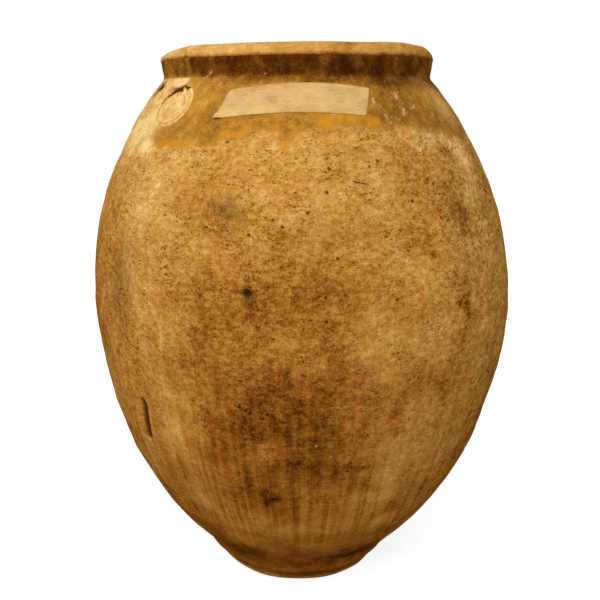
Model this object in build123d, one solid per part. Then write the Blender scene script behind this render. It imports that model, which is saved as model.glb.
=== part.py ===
from build123d import *
from math import cos, radians, sin
import os

# A large egg-shaped earthenware storage jar, built up by hand in courses of clay on a base slab.
# Millimetres, +Z up. The origin is the middle of the base on the floor, and the front faces -Y.
# Bearings are degrees round the jar from the front, positive to the right of someone facing it.

# Outside of the body, from the foot up: heights are from the floor, drops are down from the rim,
# and an inset is how far the wall has come in from the belly on each side
jar_height = 711.0
base_diameter = 260.0
base_edge_radius = 6.0
foot_height = 24.0
waist_diameter = 262.0
heel_height = 95.0
heel_diameter = 392.0
flank_height = 230.0
flank_inset = 26.0
belly_height = 388.0
belly_diameter = 572.0
upper_drop = 191.0
upper_inset = 22.0
shoulder_drop = 101.0
shoulder_diameter = 447.0
neck_drop = 34.5
neck_diameter = 350.0

# Mouth: a short upright collar with a thick rounded lip laid on it
collar_flare = 1.0
collar_wall = 23.0
throat_drop = 8.0
lip_height = 12.7
lip_overhang = 1.5
lip_outer_radius = 10.0
lip_inner_radius = 5.0
lip_under_radius = 1.2

# Thickness of the clay, and how it was put together
wall_thickness = 16.0
floor_thickness = 24.0
foot_wall = 24.0
slab_bevel = 8.0
course_count = 7
joint_bevel = 20.0

# Skins and small pieces
glaze_thickness = 0.8
glaze_drop = 73.0
seal_diameter = 55.0
front_seal_drop = 40.0
front_seal_bearing = -45.0
side_seal_drop = 34.0
side_seal_bearing = -64.5
seal_depth = 7.0
seal_stand = 1.6
seal_rim_width = 4.5
seal_recess = 2.0
tape_length = 158.0
tape_width = 40.0
tape_thickness = 0.3
adhesive_thickness = 0.2
tape_drop = 31.0
tape_bearing = -1.4
tape_left_slant = 16.0
tape_right_slant = 4.0

# Worked out from the sizes above; joint planes and cutters reach this far past the clay
reach = 2.0 * wall_thickness
lip_bottom = jar_height - lip_height
neck_height = jar_height - neck_drop
collar_top_radius = neck_diameter / 2 + collar_flare
mouth_radius = neck_diameter / 2 - collar_wall
lip_radius = collar_top_radius + lip_overhang
neck_corner = Vector(neck_diameter / 2, neck_height)
floor_corner = Vector(waist_diameter / 2 - foot_wall, floor_thickness)


# Half-section drawing: x is the radius and y is the height, turned about the jar's axis at the end

def turned(section):
    return revolve(Plane.XZ * section, Axis.Z)


outline = [
    Vector(waist_diameter / 2, foot_height),
    Vector(heel_diameter / 2, heel_height),
    Vector(belly_diameter / 2 - flank_inset, flank_height),
    Vector(belly_diameter / 2, belly_height),
    Vector(belly_diameter / 2 - upper_inset, jar_height - upper_drop),
    Vector(shoulder_diameter / 2, jar_height - shoulder_drop),
    neck_corner,
]
outer_wall = Spline(*outline)


def outward(along):
    return Vector(along.Y, -along.X)


def offset_points(distance):
    """The outline's points, moved square to the wall: out for a positive distance, in for a negative one."""
    moved = []
    for point in outline:
        along = outer_wall.tangent_at(outer_wall.param_at_point(point))
        moved.append(point + outward(along) * distance)
    return moved


def wall_at(drop):
    """A point on the outside of the wall, a drop below the neck along the clay, and its outward normal."""
    place = outer_wall.length - drop
    point = outer_wall.position_at(place, PositionMode.LENGTH)
    return point, outward(outer_wall.tangent_at(place, PositionMode.LENGTH))


collar_top = Vector(collar_top_radius, lip_bottom)
throat = Vector(mouth_radius, neck_height - throat_drop)
inner_wall = Spline(floor_corner, *offset_points(-wall_thickness)[1:-1], throat)


def clay_section():
    """Half of the clay below the lip, cut down the middle."""
    edge = base_edge_radius
    base_radius = base_diameter / 2
    return make_face([
        Line((0, 0), (base_radius - edge, 0)),
        RadiusArc((base_radius - edge, 0), (base_radius, edge), -edge),
        Line((base_radius, edge), outline[0]),
        outer_wall,
        Line(neck_corner, collar_top),
        Line(collar_top, (mouth_radius, lip_bottom)),
        Line((mouth_radius, lip_bottom), throat),
        inner_wall,
        Line(floor_corner, (0, floor_thickness)),
        Line((0, floor_thickness), (0, 0)),
    ])


# Joints between the courses: each is a bevelled line across the wall, given by two far points

def joint_line(outer_point, direction):
    return outer_point - direction * reach, outer_point + direction * reach


def course_joint(number):
    """The top of one course, square to the wall but bevelled so that the next course sits down over it."""
    point, normal = wall_at(outer_wall.length * (1 - number / course_count))
    return joint_line(point, (normal * -1).rotate(Axis.Z, -joint_bevel))


def joint_between(outer_point, inner_point):
    return joint_line(outer_point, (inner_point - outer_point).normalized())


def window(lower, upper):
    """The part of the half-section between two joint lines."""
    return make_face(Polyline(lower[0], upper[0], upper[1], lower[1], close=True))


foot_joint = joint_between(outline[0], floor_corner)
neck_joint = joint_between(neck_corner, Vector(mouth_radius, neck_height - throat_drop / 2))
lip_joint = joint_between(collar_top, Vector(mouth_radius, lip_bottom))
clay = clay_section()


def base_slab_section():
    """The floor of the jar, a slab with a bevelled edge that leans out under the first course."""
    return make_face(Polyline(
        (0, 0),
        (floor_corner.X - slab_bevel, 0),
        floor_corner,
        (0, floor_thickness),
        close=True,
    ))


def foot_coil_section():
    """The coil pressed round the slab's edge, under the first course."""
    below_first_course = make_face(Polyline(
        (floor_corner.X - slab_bevel, 0),
        floor_corner,
        foot_joint[0],
        (foot_joint[0].X, 0),
        close=True,
    ))
    return clay & below_first_course


def lip_section():
    """A flat-topped coil with a well-rounded outer edge, standing a little proud of the collar."""
    block = make_face(Polyline(
        (mouth_radius, lip_bottom),
        (lip_radius, lip_bottom),
        (lip_radius, jar_height),
        (mouth_radius, jar_height),
        close=True,
    ))
    rounding = {
        (lip_radius, jar_height): lip_outer_radius,
        (mouth_radius, jar_height): lip_inner_radius,
        (lip_radius, lip_bottom): lip_under_radius,
    }
    for corner, radius in rounding.items():
        block = fillet(block.vertices().sort_by_distance(corner)[0], radius)
    return block


# Skins: each lies between two lines drawn along the same wall

def skin_line(distance):
    """The outside of the wall and collar, moved out by a distance; the two meet in the neck's hollow corner."""
    shoulder_normal = wall_at(0)[1]
    collar_normal = outward((collar_top - neck_corner).normalized())
    mitre = (shoulder_normal + collar_normal) / (1 + shoulder_normal.dot(collar_normal))
    corner = neck_corner + mitre * distance
    wall = Spline(*offset_points(distance)[:-1], corner) if distance else outer_wall
    top = collar_top + collar_normal * distance
    return wall, Line(corner, Vector(top.X, lip_bottom))


def skin_section(inner_distance, outer_distance):
    inner = skin_line(inner_distance)
    outer = skin_line(outer_distance)
    return make_face([
        *inner,
        *outer,
        Line(inner[0] @ 0, outer[0] @ 0),
        Line(inner[1] @ 1, outer[1] @ 1),
    ])


def outside_glaze_section():
    """The glaze poured over the collar and the shoulder, down to its edge above the bare belly."""
    point, normal = wall_at(glaze_drop)
    edge = joint_line(point, normal * -1)
    above = make_face(Polyline(edge[0], (edge[0].X, jar_height), (0, jar_height), edge[1], close=True))
    return skin_section(0, glaze_thickness) & above


def inside_glaze_section():
    """The lining from the floor up to the throat; the mouth above it is left bare."""
    inward = [throat + Vector(0, -glaze_thickness)]
    inward += offset_points(-wall_thickness - glaze_thickness)[-2:0:-1]
    inward += [floor_corner + Vector(-glaze_thickness, glaze_thickness)]
    lining = Spline(*inward)
    return make_face([
        Line((0, floor_thickness), floor_corner),
        inner_wall,
        Line(throat, inward[0]),
        lining,
        Line(inward[-1], (0, inward[-1].Y)),
        Line((0, inward[-1].Y), (0, floor_thickness)),
    ])


def surface_plane(drop, bearing):
    """A plane lying on the outside of the wall: x to the right, y up the slope, z outwards."""
    point, normal = wall_at(drop)
    turn = radians(bearing)
    out = Vector(sin(turn), -cos(turn), 0)
    return Plane(
        origin=out * point.X + Vector(0, 0, point.Y),
        x_dir=Vector(cos(turn), sin(turn), 0),
        z_dir=out * normal.X + Vector(0, 0, normal.Y),
    )


# Pieces

seal_places = {
    "front_seal": surface_plane(front_seal_drop, front_seal_bearing),
    "side_seal": surface_plane(side_seal_drop, side_seal_bearing),
}


def seal_pockets():
    """The round holes for the seals, from their seats out through the glaze."""
    hole = Cylinder(
        seal_diameter / 2, seal_depth + reach, align=(Align.CENTER, Align.CENTER, Align.MIN)
    )
    return [place * Pos(0, 0, -seal_depth) * hole for place in seal_places.values()]


def make_seal(place):
    """A disc of clay with a raised rim round a plain pressed-in field."""
    disc = Cylinder(
        seal_diameter / 2, seal_depth + seal_stand, align=(Align.CENTER, Align.CENTER, Align.MIN)
    )
    field = Pos(0, 0, seal_depth + seal_stand - seal_recess) * Cylinder(
        seal_diameter / 2 - seal_rim_width, seal_recess, align=(Align.CENTER, Align.CENTER, Align.MIN)
    )
    return place * Pos(0, 0, -seal_depth) * (disc - field)


def make_tape():
    """A strip of paper tape laid straight on the glaze, torn at a slant on the left."""
    half = tape_length / 2
    strip = Polyline(
        (-half + tape_left_slant / 2, tape_width / 2),
        (half + tape_right_slant / 2, tape_width / 2),
        (half - tape_right_slant / 2, -tape_width / 2),
        (-half - tape_left_slant / 2, -tape_width / 2),
        close=True,
    )
    cutter = extrude(surface_plane(tape_drop, tape_bearing) * make_face(strip), amount=reach, both=True)
    seat = glaze_thickness + adhesive_thickness
    return turned(skin_section(seat, seat + tape_thickness)) & cutter


pieces = {
    "base_slab": turned(base_slab_section()),
    "foot_coil": turned(foot_coil_section()),
}
joints = [foot_joint] + [course_joint(number) for number in range(1, course_count)] + [neck_joint]
for number in range(1, course_count):
    pieces[f"wall_course_{number}"] = turned(clay & window(joints[number - 1], joints[number]))
pieces["shoulder_course"] = turned(clay & window(joints[-2], joints[-1])) - seal_pockets()
pieces["neck_collar"] = turned(clay & window(neck_joint, lip_joint))
pieces["lip_coil"] = turned(lip_section())
for name, place in seal_places.items():
    pieces[name] = make_seal(place)
pieces["outside_glaze"] = turned(outside_glaze_section()) - seal_pockets()
pieces["inside_glaze"] = turned(inside_glaze_section())
pieces["paper_tape"] = make_tape()

os.makedirs("parts", exist_ok=True)
for name, piece in pieces.items():
    export_step(piece, f"parts/{name}.step")
    print(name, len(piece.solids()), "solid", round(piece.volume), "mm3")
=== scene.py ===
# %% [markdown]
# # An old earthenware storage jar
# The CAD frame holds a large jar, built up by hand from a slab, coils and courses of clay. This lesson
# gives it the looks of the real one: a wall that no hand made quite round, a worn honey glaze on the
# shoulder, a stained and pitted belly, two stamped seals and a strip of paper tape. The frame is loaded
# first and never moved.

# %% Load the CAD frame
import math
from functools import partial

import bmesh
import bpy
import numpy as np
from mathutils import Matrix, Vector


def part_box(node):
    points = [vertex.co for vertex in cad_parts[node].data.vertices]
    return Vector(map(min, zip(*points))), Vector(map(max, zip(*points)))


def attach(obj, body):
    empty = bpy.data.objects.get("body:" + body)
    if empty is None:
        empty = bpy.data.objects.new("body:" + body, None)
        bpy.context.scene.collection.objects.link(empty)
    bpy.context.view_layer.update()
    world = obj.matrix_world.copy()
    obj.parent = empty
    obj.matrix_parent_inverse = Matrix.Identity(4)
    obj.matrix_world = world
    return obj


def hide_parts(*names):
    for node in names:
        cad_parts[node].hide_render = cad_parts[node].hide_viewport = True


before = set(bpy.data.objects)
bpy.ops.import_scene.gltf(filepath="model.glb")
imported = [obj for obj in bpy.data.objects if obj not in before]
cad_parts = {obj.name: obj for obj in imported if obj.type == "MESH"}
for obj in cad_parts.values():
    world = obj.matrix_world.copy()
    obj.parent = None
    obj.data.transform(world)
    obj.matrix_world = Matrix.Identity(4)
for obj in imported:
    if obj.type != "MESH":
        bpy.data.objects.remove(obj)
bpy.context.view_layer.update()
mm = 0.001
print("pieces in the frame:", len(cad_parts))

# %% [markdown]
# ## Camera
# The picture was taken from close by, a metre from the jar's axis and a little below its rim, looking
# down. A camera can be fitted by trial and error, but here its distance, height, tilt and focal length
# were worked out from the jar's known height and the curve of its rim and foot. They come first, because
# marks are placed by the pixel that shows them.

# %% Camera
photo_size = 600
focal_pixels = 716.7
camera_place = Vector((0.0, -1.0, 0.6447))
camera_tilt = math.radians(15.25)

camera_data = bpy.data.cameras.new("camera")
camera_data.lens = camera_data.sensor_width * focal_pixels / photo_size
camera = bpy.data.objects.new("camera", camera_data)
camera.location = camera_place
camera.rotation_euler = (math.pi / 2 - camera_tilt, 0, 0)
bpy.context.scene.collection.objects.link(camera)
bpy.context.scene.camera = camera
print("lens:", round(camera_data.lens, 1), "mm")

# %% [markdown]
# ## Measuring the wall
# Every new piece has to lie on the CAD wall, so the wall is measured as a potter would, with a caliper. A
# ray is sent in from the side at many heights, and a smooth curve is put through the radii that it finds.
# Reading the vertices would work too, but they mix the inside with the outside.

# %% Measure the wall
courses = [f"wall_course_{number}" for number in range(1, 7)] + ["shoulder_course"]
course_count = len(courses)
foot_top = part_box("foot_coil")[1].z
neck_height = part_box("shoulder_course")[1].z
rim_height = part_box("lip_coil")[1].z
end_margin = 0.2 * mm
bpy.context.view_layer.update()


def caliper(height):
    """Radius of the outside of the CAD wall at a height."""
    start = Vector((1.0, 0.1 * mm, height))
    touches = [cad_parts[name].ray_cast(start, Vector((-1, 0, 0))) for name in courses]
    return max(place.x for found, place, normal, face in touches if found)


felt_heights = np.linspace(foot_top + end_margin, neck_height - end_margin, 200)
felt_radii = np.array([caliper(height) for height in felt_heights])
wall_radius = np.polynomial.Polynomial.fit(felt_heights, felt_radii, 12)
wall_slope = wall_radius.deriv()
fine_heights = np.linspace(foot_top, neck_height, 3000)
fine_steps = np.hypot(np.diff(fine_heights), np.diff(wall_radius(fine_heights)))
fine_lengths = np.concatenate([[0.0], np.cumsum(fine_steps)])
wall_length = fine_lengths[-1]
print("wall length:", round(wall_length / mm), "mm, curve within",
      round(np.abs(wall_radius(felt_heights) - felt_radii).max() / mm, 2), "mm")

# %% [markdown]
# ## Lean and lumps
# A hand-built jar leans and bulges. Its lean is a curve through a few knots with rounded corners. Its
# lumps are many sine waves in random directions, which cost little and are the same on each run.

# %% Lean and lumps
lean_heights = np.array([0, 60, 105, 150, 390, 470, 560, 600, 660, 711]) * mm
lean_sideways = np.array([-3.8, -2.0, 0.1, 0.6, 3.0, 1.5, -2.8, -2.6, -3.5, -4.4]) * mm
lean_forward = np.array([13.0, 4.0, 1.0, 0, 0, 0, 0, 0, 0, 0]) * mm
curve_easing = np.array([-15, -7.5, 0, 7.5, 15]) * mm


def lumps(points, size, seed, waves=24):
    """A smooth random field with features of about this size, mostly between -1 and 1."""
    random = np.random.default_rng(seed)
    directions = random.normal(size=(waves, 3))
    directions /= np.linalg.norm(directions, axis=1)[:, None]
    lengths = size * random.uniform(1.4, 3.0, waves)
    starts = random.uniform(0, 2 * math.pi, waves)
    field = np.zeros(len(points))
    for direction, length, start in zip(directions, lengths, starts):
        field += np.sin(points @ direction * (2 * math.pi / length) + start)
    return field / math.sqrt(waves)


def smooth_step(values, low, high):
    """0 up to the low value and 1 from the high one, with a smooth slope between."""
    share = np.clip((values - low) / (high - low), 0, 1)
    return share * share * (3 - 2 * share)


def eased(heights, knots, values):
    """A curve through a few knots, with its corners rounded off."""
    return sum(np.interp(heights + step, knots, values) for step in curve_easing) / len(curve_easing)


def lean(heights):
    return eased(heights, lean_heights, lean_sideways)


print("lean at the rim:", round(lean(rim_height) / mm, 1), "mm")

# %% [markdown]
# ## Places on the wall
# A mark seen in the picture belongs somewhere on the jar. A ray from the camera through that pixel is
# followed until it meets the wall. The bearing from the front and the drop down the wall from the neck
# that are found there are what the rest of the script uses, so the mark sits on the clay from whatever
# side it is seen.

# %% Places on the wall


def at_bearing(bearing, out, up):
    """Points or directions at these bearings, with this much out from the axis and up."""
    return np.stack([out * np.sin(bearing), -out * np.cos(bearing), up], axis=-1)


def wall_place(drop):
    """Height, radius and the two parts of the outward normal, at a drop down the wall from the neck."""
    height = np.interp(wall_length - drop, fine_lengths, fine_heights)
    slope = wall_slope(height)
    size = np.hypot(1, slope)
    return height, wall_radius(height), 1 / size, -slope / size


def place_of(points):
    """Bearing and drop of points on or near the plain wall; above the neck the drop is negative."""
    bearing = np.arctan2(points[:, 0], -points[:, 1])
    drop = wall_length - np.interp(points[:, 2], fine_heights, fine_lengths)
    return bearing, drop - np.maximum(points[:, 2] - neck_height, 0)


def spot(across, down):
    """The point on the plain wall that a pixel of the picture shows."""
    half = photo_size / 2
    ray = Vector(((across - half) / focal_pixels, (half - down) / focal_pixels, -1))
    ray.rotate(camera.rotation_euler)
    reach = np.linspace(0.6, 1.4, 4000)[:, None]
    path = np.array(camera_place) + reach * np.array(ray)
    path[:, 0] -= lean(path[:, 2])
    gap = np.hypot(path[:, 0], path[:, 1]) - wall_radius(np.clip(path[:, 2], foot_top, neck_height))
    meets = np.argmax(gap < 0) if (gap < 0).any() else np.argmin(gap)
    return path[meets]


def wall_spot(across, down):
    """Bearing and drop of a pixel's point on the wall."""
    bearing, drop = place_of(spot(across, down)[None, :])
    return bearing[0], drop[0]


middle_bearing, middle_drop = wall_spot(300, 300)
print("middle of the picture:", round(math.degrees(middle_bearing), 1), "degrees round,",
      round(middle_drop / mm), "mm down")

# %% [markdown]
# ## Dents
# A tool slipped once on the left flank and left a narrow slot, a few stones burst out of the clay in the
# kiln, and the lip lost some chips. Each is a short line or a point that pushes the wall in. The mesh is
# divided more finely around them later, so that they have real depth. Scuffs are marks of the same kind,
# pale and without depth.

# %% Dents
# Each mark: pixels of both ends, width in millimetres, depth in millimetres or strength
gouge = ((142, 402.5), (150.8, 435.5), 5.2, 6.0)
scratch = ((354, 182), (367.5, 184.5), 0.6, 0.6)
big_pit = ((247.5, 293.5), (247.5, 293.5), 4.0, 3.0)
burst_width, burst_depth = 1.7, 1.6
burst_pixels = [
    (327, 193), (378, 161), (370, 167), (412, 201), (249, 235), (338, 259), (397, 300), (327, 323),
    (240, 382), (245, 412), (239, 408), (250, 414), (263, 420), (267, 416), (226, 142), (308, 213),
    (329, 169), (350, 463), (347, 471), (363, 467), (268, 492), (274, 499), (326, 298), (283, 227),
]
lip_chip_width, lip_chip_depth = 4.5, 1.8
lip_chip_pixels = [(424, 52), (404, 49), (186, 54), (352, 46)]
scuff_kinds = [((316, 446), (316, 446), 1.0, 1.0), ((160, 328), (165, 395), 1.8, 0.40),
               ((288, 378), (297, 386), 0.8, 0.15), ((281, 188), (282, 189), 0.9, 0.6),
               ((334, 253), (335, 254), 1.0, 0.6), ((250, 239), (252, 240), 1.0, 0.5)]


def place_mark(first_pixel, last_pixel, width, amount):
    return spot(*first_pixel), spot(*last_pixel), width * mm, amount


def nearness(points, mark, power, uneven=1.0):
    """1 on a mark's line and 0 well past its width; a higher power has a crisper edge."""
    start, end, width, amount = mark
    line = end - start
    share = np.clip((points - start) @ line / max(line @ line, 1e-12), 0, 1)
    distance = np.linalg.norm(points - start - share[:, None] * line, axis=1)
    return np.exp(-((distance / width * uneven) ** power))


wall_dents = [place_mark(*kind) for kind in (gouge, scratch, big_pit)]
wall_dents += [place_mark(pixel, pixel, burst_width, burst_depth) for pixel in burst_pixels]
lip_dents = [place_mark(pixel, pixel, lip_chip_width, lip_chip_depth) for pixel in lip_chip_pixels]
scuffs = [place_mark(*kind) for kind in scuff_kinds]
print("dents:", len(wall_dents), "in the wall,", len(lip_dents), "in the lip")

# %% [markdown]
# ## Made by hand
# Sculpting would make the wall uneven, and so would a displacement modifier, but then a seam would open
# between neighbouring pieces. So one function moves any point of the jar: it depends on the place alone,
# and pieces that share an edge keep sharing it. It also fills the crease above the foot, tilts the rim
# and wears the lip.

# %% Made by hand
swell_heights = np.array([0, 24, 60, 120, 200, 300, 400, 470, 520, 560, 600, 670, 711]) * mm
swell = np.array([0, 0, -2.2, 1.4, 2.0, 0.3, -0.8, -0.5, 0.6, 1.0, -1.2, -1.0, 0]) * mm
oval_push, oval_turn = 1.0 * mm, 1.2
# Lumps of the wall: height, size, seed, and a squash sideways, which draws them out into ridges
wall_lumps = [(1.3 * mm, 70 * mm, 1, 1), (0.35 * mm, 22 * mm, 2, 1), (0.22 * mm, 9 * mm, 3, 0.22)]
joint_lump, joint_reach = 0.5 * mm, 9 * mm
joint_heights = np.interp(np.arange(1, course_count) * wall_length / course_count, fine_lengths, fine_heights)
crease_fill, crease_reach = 6.5 * mm, 21 * mm
push_radius = 60 * mm
rim_raise, rim_tilt, rim_lump = 0.6 * mm, 0.009, 0.5 * mm
rim_wave_bearings = np.radians([0, 30, 48, 64, 80, 95, 180])
rim_wave = np.array([0, 0.6, 2.5, 1.2, -2.2, -4.0, 0]) * mm
lip_wear, lip_wear_depth = 4.0 * mm, 12 * mm
lip_wear_bearing, lip_wear_reach = math.radians(-74), 0.3


def hand_made(points):
    """Moves points of the plain turned jar to where the hand-made one has them."""
    height = points[:, 2]
    bearing = np.arctan2(points[:, 0], -points[:, 1])
    push = oval_push * np.cos(2 * bearing - oval_turn) + eased(height, swell_heights, swell)
    push += crease_fill * np.clip(1 - np.abs(height - foot_top) / crease_reach, 0, 1) ** 2
    for amount, size, seed, squash in wall_lumps:
        push += amount * lumps(points * (squash, squash, 1), size, seed)
    to_joint = np.abs(height[:, None] - joint_heights).min(axis=1)
    push += joint_lump * lumps(points, 60 * mm, seed=5) * np.exp(-((to_joint / joint_reach) ** 2))
    for dent in wall_dents + lip_dents:
        push -= dent[3] * mm * nearness(points, dent, 4)
    outward = points * (1, 1, 0) / np.maximum(np.hypot(points[:, 0], points[:, 1]), push_radius)[:, None]
    moved = points + outward * push[:, None]
    moved[:, 0] += lean(height)
    moved[:, 1] -= eased(height, lean_heights, lean_forward)
    raised = rim_raise + rim_tilt * points[:, 0] + np.interp(np.abs(bearing), rim_wave_bearings, rim_wave)
    raised += rim_lump * lumps(points, 40 * mm, seed=4)
    moved[:, 2] += raised * smooth_step(height, neck_height, rim_height)
    worn = np.exp(-(((bearing - lip_wear_bearing) / lip_wear_reach) ** 2))
    moved[:, 2] -= lip_wear * worn * smooth_step(height, rim_height - lip_wear_depth, rim_height)
    return moved


def on_wall(bearing, drop, out=0.0):
    """Points on the hand-made wall, or a little out from it."""
    height, radius, normal_out, normal_up = wall_place(drop)
    normals = at_bearing(bearing, normal_out, normal_up)
    lifted = normals * np.broadcast_to(out, bearing.shape)[:, None]
    return hand_made(at_bearing(bearing, radius, height)) + lifted


print("joints between courses at:", np.round(joint_heights / mm), "mm")

# %% [markdown]
# ## Turning a section
# The courses, coils, lip and linings are all turned shapes. Each is drawn as a half-section, a loop of
# points in radius and height, and `bmesh.ops.spin` sweeps it round the axis. A full spin of 720 steps
# gets slower and slower, so one wedge is spun, copied round and merged. Normals are recalculated once
# doubles are merged, and only real corners are marked sharp.

# %% Turning a section
turn_steps = 720
wedge_count = 24
row_spacing = 2.5 * mm
sharp_corner = math.radians(35)


def turned(section, closed=True, steps=turn_steps):
    """A half-section of (radius, height) points, turned round the jar's axis."""
    mesh = bmesh.new()
    corners = [mesh.verts.new((radius, 0, height)) for radius, height in section]
    pairs = list(zip(corners, corners[1:]))
    if closed:
        pairs.append((corners[-1], corners[0]))
    edges = [mesh.edges.new(pair) for pair in pairs]
    wedge = 2 * math.pi / wedge_count
    bmesh.ops.spin(mesh, geom=corners + edges, axis=(0, 0, 1), cent=(0, 0, 0), angle=wedge,
                   steps=steps // wedge_count)
    first = mesh.verts[:] + mesh.edges[:] + mesh.faces[:]
    for number in range(1, wedge_count):
        copy = bmesh.ops.duplicate(mesh, geom=first)["geom"]
        verts = [part for part in copy if isinstance(part, bmesh.types.BMVert)]
        bmesh.ops.rotate(mesh, verts=verts, cent=(0, 0, 0), matrix=Matrix.Rotation(number * wedge, 3, "Z"))
    bmesh.ops.remove_doubles(mesh, verts=mesh.verts, dist=0.001 * mm)
    bmesh.ops.recalc_face_normals(mesh, faces=mesh.faces)
    for face in mesh.faces:
        face.smooth = True
    for edge in mesh.edges:
        edge.smooth = edge.calc_face_angle(0) < sharp_corner
    return mesh


def run(start, end, spacing):
    """Points along a straight line, both ends included."""
    start, end = np.array(start), np.array(end)
    count = max(2, round(np.linalg.norm(end - start) / spacing) + 1)
    return start + np.linspace(0, 1, count)[:, None] * (end - start)


def arc(centre, radii, start, end, count=8):
    """Points on an ellipse's arc; angles are in degrees, from outwards towards up."""
    angles = np.radians(np.linspace(start, end, count))
    return np.array(centre) + np.array(radii) * np.stack([np.cos(angles), np.sin(angles)], axis=1)


def refine(mesh, marks, reach, cuts):
    """Divides the mesh more finely around each mark."""
    heights = [vert.co.z for vert in mesh.verts]
    for start, end, width, amount in marks:
        middle = Vector((start + end) / 2)
        limit = width * reach + np.linalg.norm(end - start) / 2
        if not min(heights) - limit < middle.z < max(heights) + limit:
            continue
        near = {vert for vert in mesh.verts if (vert.co - middle).length < limit}
        edges = {edge for vert in near for edge in vert.link_edges if edge.other_vert(vert) in near}
        bmesh.ops.subdivide_edges(mesh, edges=list(edges), cuts=cuts, use_grid_fill=True)


print("a full turn has", turn_steps, "steps in", wedge_count, "wedges")

# %% [markdown]
# ## Dirt and stains
# What makes the jar look old is where its stains are: a brown middle, dark runs down the lower half, grey
# patches on the left, pale places. A few of the ovals are painted light and shade instead: painted shade
# in a band across the front of the foot, and painted highlights on the left shoulder and along the right
# edge. They could be image textures, but painted numbers on the vertices need no image and follow the
# surface. Each front stain is a soft oval placed by its pixel, and lumps carry the same character round
# the sides and the back.

# %% Places of the stains
# Each stain: pixel across and down, half-width and half-height on the wall in millimetres, strength
# Brown and sooty ovals low on the foot are painted shade; pale ovals on the left shoulder and the right edge
# are painted highlights
brown_stains_and_shade = [
    (205, 455, 28, 22, 0.08), (335, 295, 52, 42, 0.16), (285, 425, 60, 65, 0.12), (300, 492, 60, 34, 0.10),
    (270, 497, 10, 12, 0.25), (355, 467, 20, 9, 0.20), (462, 217, 14, 22, 0.24), (422, 243, 30, 13, 0.16),
    (467, 302, 9, 38, 0.24), (250, 302, 32, 36, 0.12), (425, 185, 60, 65, 0.06), (446, 151, 9, 10, 0.20),
    (190, 335, 40, 30, 0.08), (242, 549, 40, 16, 0.20), (350, 551, 45, 24, 0.22), (396, 415, 8, 30, 0.16),
    (235, 420, 30, 40, 0.10), (285, 455, 80, 95, 0.14), (290, 315, 95, 80, 0.10), (320, 390, 75, 28, 0.08),
    (300, 345, 80, 20, 0.05), (200, 280, 60, 50, 0.06), (235, 392, 58, 42, 0.06), (330, 398, 50, 45, 0.05),
    (285, 435, 90, 35, 0.04), (200, 330, 50, 60, 0.03),
]
pale_stains_and_highlights = [
    (147, 125, 18, 17, 0.15), (365, 343, 48, 36, 0.09), (265, 350, 50, 20, 0.03), (310, 529, 130, 17, 0.11),
    (378, 212, 11, 10, 0.22), (150, 190, 45, 60, 0.13), (180, 440, 40, 55, 0.15), (395, 465, 40, 50, 0.21),
    (465, 175, 30, 60, 0.15), (420, 138, 42, 15, 0.14), (458, 150, 20, 28, 0.16), (430, 325, 35, 40, 0.07),
    (445, 440, 28, 55, 0.20), (200, 497, 28, 28, 0.16), (158, 465, 25, 40, 0.14), (330, 505, 50, 25, 0.06),
]
soot_stains_and_shade = [
    (227, 210, 24, 16, 0.5), (117, 280, 24, 48, 0.40), (462, 217, 16, 20, 0.35), (247, 294, 7, 8, 0.9),
    (250, 548, 30, 12, 0.35),
]
stray_glaze = [
    (237, 188, 6, 2.5, 0.9), (284, 149, 3.5, 7, 0.8), (302, 134, 4, 3, 0.6), (330, 139, 5, 2.5, 0.6),
]
# The bare patch round the seals: an oval, with two corners in the form of stains
# On the clay, the patch's paleness is partly a painted highlight
patch_bearing, patch_drop = math.radians(-65), 44 * mm
patch_width, patch_height = 78 * mm, 60 * mm
patch_corners = [(180, 80, 26, 15, 1.0), (143, 146, 26, 17, 0.7)]


def stained(bearing, drop, stains):
    """Soft ovals on the wall, added up; each reaches its strength in its middle."""
    total = np.zeros(len(bearing))
    for across, down, half_width, half_height, strength in stains:
        middle_bearing, middle_drop = wall_spot(across, down)
        turn = (bearing - middle_bearing + math.pi) % (2 * math.pi) - math.pi
        sideways = turn * wall_place(drop)[1] / (half_width * mm)
        total += strength * np.exp(-(sideways ** 2) - ((drop - middle_drop) / (half_height * mm)) ** 2)
    return total


def bare_patch(bearing, drop, points):
    """How bare and pale the shoulder is round the seals, 0 to 1."""
    sideways = (bearing - patch_bearing) * wall_place(drop)[1] / patch_width
    away = np.hypot(sideways, (drop - patch_drop) / patch_height) + 0.10 * lumps(points, 14 * mm, seed=44)
    bare = 1 - smooth_step(away, 0.2, 1.7)
    for corner in patch_corners:
        bare = np.maximum(bare, smooth_step(stained(bearing, np.maximum(drop, 0), [corner]), 0.02, 0.8))
    return bare * smooth_step(drop, -1 * mm, 4 * mm)


print("stains:", len(brown_stains_and_shade), "brown,", len(pale_stains_and_highlights), "pale,", len(soot_stains_and_shade), "sooty")

# %% [markdown]
# ### What is painted on the clay
# Nine numbers are painted on the wall. The clay is browner low down, streaked by water on the lower half,
# more pitted and mottled higher up, and smooth and pale on the bare patch, where the paleness is partly a
# painted highlight. Painted shade and dirt darken the heel, higher at the front, and painted light makes
# the foot's lower edge paler. Lumps push the stains about, so that their outlines are ragged; a texture
# could do that too, but not bend whole stains.

# %% What is painted on the clay
clay_brown, low_brown, dirt_and_shading_brown, patch_paleness_and_highlight = 0.37, 0.17, 0.04, 0.42
low_band = (60 * mm, 480 * mm)
streak_band = (60 * mm, 170 * mm)
lit_foot_edge = (3 * mm, 13 * mm)
dirt_and_shade_height, dirt_and_shade_rise = 42 * mm, 62 * mm
ragged_reach = 5 * mm


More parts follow.
